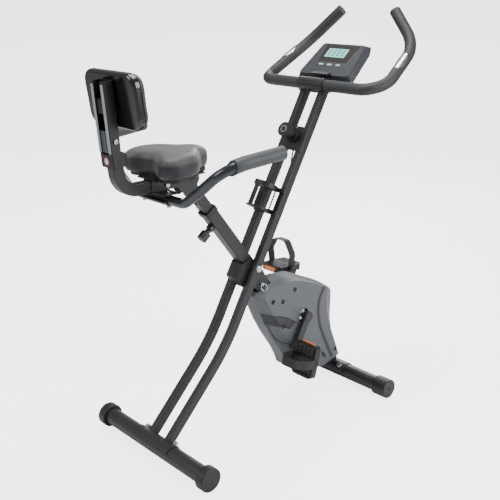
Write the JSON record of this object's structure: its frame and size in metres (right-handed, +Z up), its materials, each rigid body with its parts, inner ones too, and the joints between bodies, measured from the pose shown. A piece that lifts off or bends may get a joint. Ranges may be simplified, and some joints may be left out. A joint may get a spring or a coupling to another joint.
{
  "type": "folding exercise bike",
  "caption": "Folding X-frame exercise bike with magnetic drive, adjustable saddle and backrest, side grips, console and tension knob.",
  "frame": {"origin": "on the floor under the middle of the overall box", "axes": "+X forwards from the seat to the handlebar, +Y the bike's left, +Z up"},
  "size_m": [0.971, 0.5856, 1.1656],
  "materials": {
    "frame_black": "semi-gloss black powder coat",
    "housing_grey": "fine matte mid-grey moulded plastic",
    "black_plastic": "fine-grained black plastic",
    "gloss_black": "glossy black plastic",
    "foam_grip": "closed-cell foam",
    "bar_metal": "satin dark grey lacquer",
    "saddle_cover": "matte grey-black synthetic leather",
    "zinc": "bright zinc plate",
    "sensor_chrome": "polished",
    "cast_flywheel": "machined and blackened",
    "belt_rubber": "ribbed",
    "console_grey": "dark slate grey moulded plastic",
    "screen": "dark tinted window",
    "button_grey": "light grey",
    "light_plastic": "light grey"
  },
  "bodies": {
    "front_frame": {"main_tube": "frame_black", "lock_plates": "frame_black", "seat_tube_collar": "black_plastic", "front_foot_tube": "frame_black", "front_foot_bolts": "zinc", "crank_shell": "frame_black", "crank_bearings": "zinc", "drive_pins": "zinc", "housing_right": "housing_grey", "housing_left": "housing_grey", "housing_screws": "black_plastic", "drive_belt": "belt_rubber"},
    "rear_frame": {"post_left": "frame_black", "post_right": "frame_black", "pivot_bolt": "zinc", "pivot_box": "black_plastic", "rear_foot_tube": "frame_black", "rear_foot_saddle": "frame_black", "rear_foot_bolts": "zinc", "rear_foot_caps": "black_plastic", "handlebar_tube": "frame_black", "handlebar_foam": "foam_grip", "pulse_plates": "sensor_chrome", "handlebar_clamp": "black_plastic", "console_body": "console_grey", "console_window": "screen", "tension_plate": "black_plastic", "tension_cable": "belt_rubber", "bottle_cage": "black_plastic"},
    "crank": {"crank_axle": "zinc", "drive_pulley": "black_plastic", "crank_right": "frame_black", "crank_left": "frame_black"},
    "pedal_left": {"pedal_left": "black_plastic", "strap_left": "belt_rubber"},
    "pedal_right": {"pedal_right": "black_plastic", "strap_right": "belt_rubber"},
    "flywheel": {"flywheel": "cast_flywheel"},
    "magnet_arm": {"magnet_arm": "zinc"},
    "tension_dial": {"tension_dial": "black_plastic"},
    "button_left": {"button_left": "button_grey"},
    "button_middle": {"button_middle": "button_grey"},
    "button_right": {"button_right": "button_grey"},
    "seat": {"seat_post": "frame_black", "support_tube": "frame_black", "seat_carrier": "frame_black", "side_bar": "bar_metal", "side_grips": "foam_grip", "side_bar_clamp": "frame_black", "seat_bolts": "zinc", "saddle_pan": "black_plastic", "saddle_cushion": "saddle_cover", "backrest_rail": "black_plastic"},
    "backrest": {"backrest_slider": "black_plastic", "backrest_shell": "gloss_black", "backrest_cushion": "saddle_cover"},
    "pop_pin": {"pop_pin": "black_plastic"},
    "lock_pin": {"lock_pin": "zinc"},
    "front_roller_right": {"front_roller_right": "black_plastic"},
    "front_roller_left": {"front_roller_left": "black_plastic"}
  },
  "joints": [
    {"name": "frame_fold", "type": "hinge", "parent": "front_frame", "child": "rear_frame", "pos_m": [-0.01315, 0, 0.469], "axis": [0, -1, 0], "range_deg": [0, 20]},
    {"name": "seat_height", "type": "slide", "parent": "front_frame", "child": "seat", "axis": [-0.6114, 0, 0.7913], "range_m": [-0.06, 0.06]},
    {"name": "backrest_height", "type": "slide", "parent": "seat", "child": "backrest", "axis": [-0.0872, 0, 0.9962], "range_m": [-0.036, 0.036]},
    {"name": "crank_spin", "type": "hinge", "parent": "front_frame", "child": "crank", "pos_m": [0.17785, 0, 0.2735], "axis": [0, 1, 0], "continuous": true},
    {"name": "pedal_left_spin", "type": "hinge", "parent": "crank", "child": "pedal_left", "pos_m": [0.23886, 0, 0.37753], "axis": [0, 1, 0], "continuous": true},
    {"name": "pedal_right_spin", "type": "hinge", "parent": "crank", "child": "pedal_right", "pos_m": [0.11683, 0, 0.16947], "axis": [0, 1, 0], "continuous": true},
    {"name": "flywheel_spin", "type": "hinge", "parent": "front_frame", "child": "flywheel", "pos_m": [0.21185, 0, 0.18], "axis": [0, 1, 0], "continuous": true},
    {"name": "magnet_swing", "type": "hinge", "parent": "front_frame", "child": "magnet_arm", "pos_m": [0.28685, 0, 0.127], "axis": [0, 1, 0], "range_deg": [0, 3]},
    {"name": "tension_turn", "type": "hinge", "parent": "rear_frame", "child": "tension_dial", "pos_m": [0.15377, 0, 0.82605], "axis": [-0.871, 0, 0.4912], "range_deg": [0, 270]},
    {"name": "button_left_press", "type": "slide", "parent": "rear_frame", "child": "button_left", "axis": [0.6463, 0, -0.7631], "range_m": [0, 0.0015], "stiffness_N_per_m": 400, "springref_m": -0.002},
    {"name": "button_middle_press", "type": "slide", "parent": "rear_frame", "child": "button_middle", "axis": [0.6463, 0, -0.7631], "range_m": [0, 0.0015], "stiffness_N_per_m": 400, "springref_m": -0.002},
    {"name": "button_right_press", "type": "slide", "parent": "rear_frame", "child": "button_right", "axis": [0.6463, 0, -0.7631], "range_m": [0, 0.0015], "stiffness_N_per_m": 400, "springref_m": -0.002},
    {"name": "pop_pin_pull", "type": "slide", "parent": "front_frame", "child": "pop_pin", "axis": [-0.7913, 0, -0.6114], "range_m": [0, 0.008], "stiffness_N_per_m": 800, "springref_m": -0.005},
    {"name": "lock_pin_pull", "type": "slide", "parent": "front_frame", "child": "lock_pin", "axis": [0, -1, 0], "range_m": [0, 0.02], "stiffness_N_per_m": 300, "springref_m": -0.005},
    {"name": "front_roller_right_spin", "type": "hinge", "parent": "front_frame", "child": "front_roller_right", "pos_m": [0.36285, 0, 0.03], "axis": [0, 1, 0], "continuous": true},
    {"name": "front_roller_left_spin", "type": "hinge", "parent": "front_frame", "child": "front_roller_left", "pos_m": [0.36285, 0, 0.03], "axis": [0, 1, 0], "continuous": true}
  ],
  "couplings": [
    {"joint": "flywheel_spin", "follows": "crank_spin", "ratio": 4.4286},
    {"joint": "magnet_swing", "follows": "tension_turn", "ratio": 0.0111}
  ]
}
